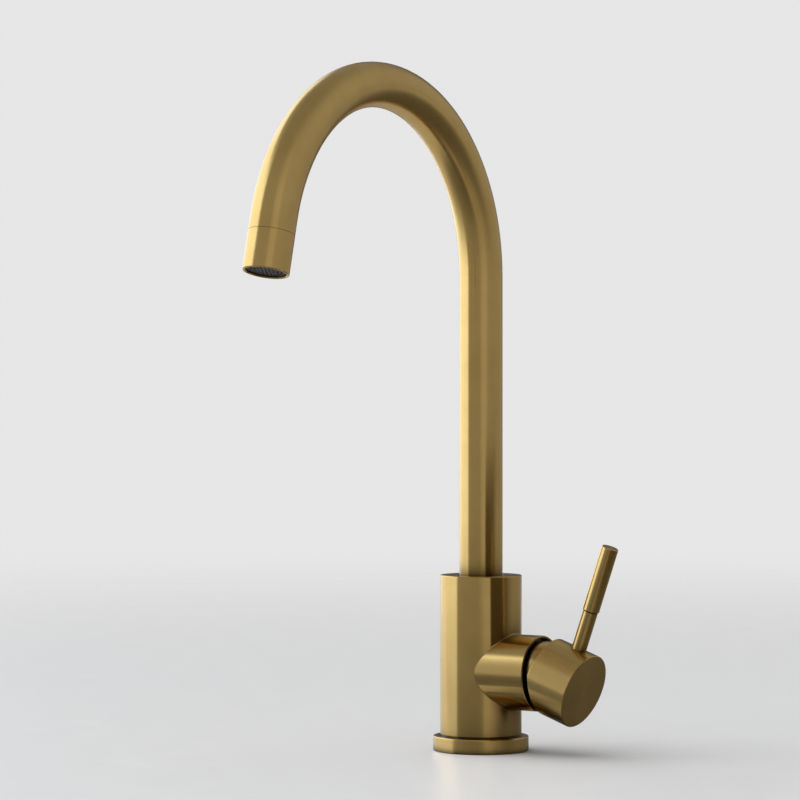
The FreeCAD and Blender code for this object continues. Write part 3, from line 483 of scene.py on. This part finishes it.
def turned_metal(name, find_frame, colour, deep, roughness, stretch, line_depth=0.12, uneven=0.07,
                 reach=CREASE_REACH):
    """Metal with fine lines round it. Its reflections spread across the lines."""
    material, tree = new_material(name)
    round_it, lines, sharpness = find_frame(tree)
    turn = tree.add("ShaderNodeVectorTransform", vector_type="VECTOR", convert_from="OBJECT", convert_to="WORLD")
    tree.feed(turn.inputs[0], round_it)
    fine = tree.noise(lines, scale=1.0, detail=3.0, roughness=0.65)
    cloud = tree.noise(tree.place(), scale=CLOUD_SCALE, detail=3.0, roughness=0.55)
    # Painted shade in corners and creases: the deep colour darkened to CREASE_SHADE of itself, mixed in where
    # the surface is not open.
    painted_crease_shade = tuple(part * CREASE_SHADE for part in deep[:3]) + (1,)
    shade = tree.mix(tree.step(cloud, *CLOUD_SPAN), colour, deep)
    shade = tree.mix(tree.step(tree.openness(reach), *CREASE_SPAN), painted_crease_shade, shade)
    rough = tree.line(fine, slope=uneven, start=roughness - uneven / 2)
    rough = tree.line(tree.math("SUBTRACT", cloud, 0.5), slope=CLOUD_GLOSS, start=rough)
    tree.close(tree.shader(
        "BsdfPrincipled", Base_Color=shade, Metallic=1.0, Roughness=tree.math("SUBTRACT", rough, sharpness),
        Anisotropic=stretch, Anisotropic_Rotation=QUARTER_TURN, Tangent=turn.outputs[0],
        Normal=tree.bump(fine, strength=line_depth, distance=BRUSH_HEIGHT)))
    return material


def brushed_gold(name, find_frame, reach=CREASE_REACH):
    return turned_metal("gold_" + name, find_frame, GOLD, GOLD_DEEP, roughness=0.24, stretch=0.85, reach=reach)


def turned_brass(name, find_frame, stretch=0.7):
    return turned_metal("brass_" + name, find_frame, BRASS, BRASS_DEEP, roughness=0.28, stretch=stretch,
                        line_depth=0.3, uneven=0.12)


def turned_steel(name, find_frame, roughness=0.24, stretch=0.6):
    return turned_metal("steel_" + name, find_frame, STAINLESS, STAINLESS_DEEP, roughness, stretch)


def zinc_plate():
    """Passivated zinc on steel, with a faint yellow and blue bloom."""
    material, tree = new_material("zinc_plate")
    bloom = tree.noise(tree.place(), scale=160.0, detail=4.0, roughness=0.6)
    grain = tree.noise(tree.place(), scale=2600.0, detail=2.0, roughness=0.6)
    tree.close(tree.shader(
        "BsdfPrincipled", Base_Color=tree.mix(tree.step(bloom, low=0.38, high=0.66), ZINC, ZINC_DEEP),
        Metallic=1.0, Roughness=tree.line(grain, slope=0.2, start=0.26),
        Normal=tree.bump(grain, strength=0.2, distance=0.00002)))
    return material


# ---------------------------------------------------------------- rubber, plastic and ceramic

MOULDED_UNEVEN = 0.18
MOULDED_GRAIN_HEIGHT = 0.00003
RUBBER = (0.018, 0.018, 0.019, 1)
RUBBER_DEEP = (0.03, 0.029, 0.028, 1)
ACETAL = (0.80, 0.79, 0.75, 1)
ACETAL_DEEP = (0.74, 0.73, 0.69, 1)
GREY = (0.085, 0.088, 0.092, 1)
GREY_DEEP = (0.07, 0.072, 0.077, 1)
PTFE = (0.86, 0.86, 0.85, 1)
PTFE_DEEP = (0.82, 0.82, 0.80, 1)
CERAMIC = (0.86, 0.84, 0.80, 1)
CERAMIC_DEEP = (0.78, 0.76, 0.72, 1)
LAPPED_MARKS = (400.0, 9000.0, 1500.0)    # for each metre along each axis


def moulded(name, colour, deep, roughness, grain_scale, grain_depth):
    """Moulded plastic or rubber: a fine grain, and a slow drift of its colour and gloss."""
    material, tree = new_material(name)
    drift = tree.noise(tree.place(), scale=90.0, detail=3.0)
    grain = tree.noise(tree.place(), scale=grain_scale, detail=3.0, roughness=0.6)
    tree.close(tree.shader(
        "BsdfPrincipled", Base_Color=tree.mix(tree.step(drift, low=0.3, high=0.7), colour, deep),
        Roughness=tree.line(grain, slope=MOULDED_UNEVEN, start=roughness - MOULDED_UNEVEN / 2),
        Normal=tree.bump(grain, strength=grain_depth, distance=MOULDED_GRAIN_HEIGHT)))
    return material


def lapped_ceramic():
    """Alumina, lapped flat: nearly a mirror, with very fine crossing marks."""
    material, tree = new_material("lapped_ceramic")
    marks = tree.noise(tree.vector("MULTIPLY", tree.place(), LAPPED_MARKS), scale=1.0, detail=2.0)
    speck = tree.noise(tree.place(), scale=1200.0, detail=3.0)
    tree.close(tree.shader(
        "BsdfPrincipled", Base_Color=tree.mix(tree.step(speck, low=0.4, high=0.7), CERAMIC, CERAMIC_DEEP),
        Roughness=tree.line(marks, slope=0.12, start=0.05), Subsurface_Weight=0.08,
        Subsurface_Radius=(0.002, 0.0018, 0.0015), Subsurface_Scale=0.5,
        Normal=tree.bump(marks, strength=0.08, distance=0.00001)))
    return material


# ---------------------------------------------------------------- threads and screws

THREAD_ROWS = 8           # for each turn of a thread
FLANK_STEEPNESS = 2.4     # of a thread's profile, whose crest and root are flat
FLANK_OFFSET = 0.7
THREAD_GAP = 0.0002       # between a thread and what comes before it
SHARP_ANGLE = math.radians(35)
PINHOLE = 0.0001          # radius of the hole down a screw's middle, where its skin meets itself

SHANK_SIDES = 72
SHANK_PITCH = 0.0015
SHANK_THREAD_DEPTH = 0.0008
SHANK_PLAIN = 0.004

SCREW_COUNT = 3
SCREW_SIDES = 36
SCREW_RADIUS = 0.0025
SCREW_PITCH = 0.0008
SCREW_THREAD_DEPTH = 0.00045
SCREW_TIP = 0.0006        # length of the plain tip
SCREW_TIP_TAPER = 0.0005
HEAD_RADIUS = 0.004
HEAD_HEIGHT = 0.0035
HEAD_ROUND = 0.0008
HEAD_ROUND_STEPS = (30, 60, 90)
SOCKET_FLATS = 0.004
SOCKET_DEPTH = 0.0022


def steady(radius):
    """The same radius at every angle."""
    return lambda turn: radius


def hexagon(flats):
    """The radius of a hexagon's outline by angle."""
    sixth = math.pi / 3
    return lambda turn: flats / 2 / math.cos((turn % sixth) - sixth / 2)


def thread_rows(radius, depth, pitch, low, high):
    """Rows of a helical thread from low to high, whose depth fades out at both ends."""
    rows = []
    count = round((high - low) / pitch * THREAD_ROWS)
    for number in range(count + 1):
        height = low + (high - low) * number / count
        ends = min(1.0, (height - low) / pitch, (high - height) / pitch)

        def at(turn, height=height, ends=ends):
            phase = (height / pitch - turn / (2 * math.pi)) % 1.0
            flank = min(1.0, max(0.0, FLANK_STEEPNESS * abs(2 * phase - 1) - FLANK_OFFSET))
            return radius - depth * ends * flank
        rows.append((at, height))
    return rows


def skin(rows, sides, centre=(0, 0)):
    """A closed surface through rows of (radius by angle, height), from the first row round to it again."""
    vertices = []
    faces = []
    for find_radius, height in rows:
        for side in range(sides):
            turn = 2 * math.pi * side / sides
            radius = find_radius(turn)
            vertices.append((centre[0] + radius * math.cos(turn), centre[1] + radius * math.sin(turn), height))
    for row in range(len(rows)):
        following = (row + 1) % len(rows)
        for side in range(sides):
            beside = (side + 1) % sides
            faces.append((row * sides + side, row * sides + beside,
                          following * sides + beside, following * sides + side))
    return vertices, faces


def make_piece(name, skins, body, replaced, material):
    """One object from several skins, riding on a body in place of a CAD node."""
    vertices = []
    faces = []
    for skin_vertices, skin_faces in skins:
        start = len(vertices)
        vertices += skin_vertices
        faces += [tuple(start + corner for corner in face) for face in skin_faces]
    piece = new_object(name, vertices, faces)
    piece.data.shade_smooth()
    piece.data.set_sharp_from_angle(angle=SHARP_ANGLE)
    wear(piece, material)
    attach(piece, body)
    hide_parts(replaced)


def make_threaded_shank(material):
    """The shank with its thread, which runs out just under the worktop's surface."""
    low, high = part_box("shank")
    radius = high.x
    bore = steady(SHANK_BORE)
    chamfer = SHANK_THREAD_DEPTH
    rows = [(bore, low.z), (steady(radius - chamfer), low.z), (steady(radius), low.z + chamfer)]
    rows += thread_rows(radius, SHANK_THREAD_DEPTH, SHANK_PITCH, low.z + chamfer + THREAD_GAP, -SHANK_PLAIN)
    rows += [(steady(radius), high.z), (bore, high.z)]
    make_piece("threaded_shank", [skin(rows, SHANK_SIDES)], "tap_body", "shank", material)


def screw_rows(low, high):
    """A tightening screw, from its hexagon socket over its round head and along its thread."""
    neck = low + HEAD_HEIGHT
    socket = hexagon(SOCKET_FLATS)
    rows = [(steady(PINHOLE), low + SOCKET_DEPTH), (socket, low + SOCKET_DEPTH), (socket, low),
            (steady(HEAD_RADIUS - HEAD_ROUND), low)]
    for bend in map(math.radians, HEAD_ROUND_STEPS):
        rows.append((steady(HEAD_RADIUS - HEAD_ROUND * (1 - math.sin(bend))),
                     low + HEAD_ROUND * (1 - math.cos(bend))))
    rows += [(steady(HEAD_RADIUS), neck), (steady(SCREW_RADIUS), neck)]
    rows += thread_rows(SCREW_RADIUS, SCREW_THREAD_DEPTH, SCREW_PITCH, neck + THREAD_GAP, high - SCREW_TIP)
    rows += [(steady(SCREW_RADIUS - SCREW_TIP_TAPER), high), (steady(PINHOLE), high)]
    return rows


def make_screws(material):
    """The tightening screws, spread evenly round the shank."""
    low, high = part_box("clamp_screws")
    reach = high.x - HEAD_RADIUS
    skins = []
    for number in range(SCREW_COUNT):
        angle = 2 * math.pi * number / SCREW_COUNT
        centre = (reach * math.cos(angle), reach * math.sin(angle))
        skins.append(skin(screw_rows(low.z, high.z), SCREW_SIDES, centre))
    make_piece("tightening_screws", skins, "tap_body", "clamp_screws", material)


# ---------------------------------------------------------------- who wears what

UPRIGHT = turned((0, 0, 0), Z_AXIS)
ROUND_BOSS = turned(PIVOT, X_AXIS)


def dress_gold():
    lever = turned(middle("lever_grip"), LEVER_AXIS)
    frames = {
        "main_body": body_frame,
        "spout_tube": spout_frame,
        "aerator_sleeve": turned(middle("aerator_sleeve"), WATER_AXIS),
        "dome_ring": ROUND_BOSS,
        "handle_cap": turned(PIVOT, CAP_AXIS),
        "lever_pin": lever,
        "lever_grip": lever,
        "screw_plug": turned(middle("screw_plug"), LEVER_AXIS),
    }
    for name, find_frame in frames.items():
        wear(nodes[name], brushed_gold(name, find_frame))
    wear(nodes["base_ring"], brushed_gold("base_ring", UPRIGHT, RING_CREASE_REACH))


def dress_metal():
    for name, find_frame in (("back_nut", UPRIGHT), ("cartridge_nut", ROUND_BOSS), ("spout_adapter", UPRIGHT)):
        wear(nodes[name], turned_brass(name, find_frame))
    steel = {
        "pivot_pin": turned(PIVOT, Y_AXIS),
        "lever_stem": turned(PIVOT, CAP_AXIS),
        "handle_grub_screw": turned(middle("handle_grub_screw"), LEVER_AXIS),
        "spout_lock_screw": turned(middle("spout_lock_screw"), Y_AXIS),
    }
    for name, find_frame in steel.items():
        wear(nodes[name], turned_steel(name, find_frame))
    mesh_frame = turned(middle("aerator_sleeve"), WATER_AXIS)
    wear(nodes["aerator_screens"], turned_steel("screens", mesh_frame, roughness=0.3, stretch=0.3))
    plate = zinc_plate()
    wear(nodes["clamp_washer"], plate)
    make_threaded_shank(turned_brass("shank", UPRIGHT, stretch=0.5))
    make_screws(plate)


def dress_soft():
    rubber = moulded("black_rubber", RUBBER, RUBBER_DEEP, roughness=0.62, grain_scale=1800.0, grain_depth=0.5)
    acetal = moulded("acetal", ACETAL, ACETAL_DEEP, roughness=0.36, grain_scale=900.0, grain_depth=0.15)
    grey = moulded("grey_plastic", GREY, GREY_DEEP, roughness=0.42, grain_scale=1100.0, grain_depth=0.2)
    ptfe = moulded("ptfe", PTFE, PTFE_DEEP, roughness=0.45, grain_scale=700.0, grain_depth=0.1)
    for material, names in (
            (rubber, ("base_gasket", "deck_washer", "port_seals", "disc_seals", "spout_o_rings",
                      "aerator_gasket")),
            (lapped_ceramic(), ("fixed_disc", "moving_disc")),
            (acetal, ("disc_coupling", "cartridge_housing", "cartridge_rotor")),
            (grey, ("cartridge_base", "aerator_insert")),
            (ptfe, ("spout_slide_rings",))):
        for name in names:
            wear(nodes[name], material)


make_camera()
make_floor_lamp(make_floor())
make_flag("far_flag", *FAR_FLAG)
make_flag("near_flag", *NEAR_FLAG, one_sided=True)
make_world()
dress_gold()
dress_metal()
dress_soft()
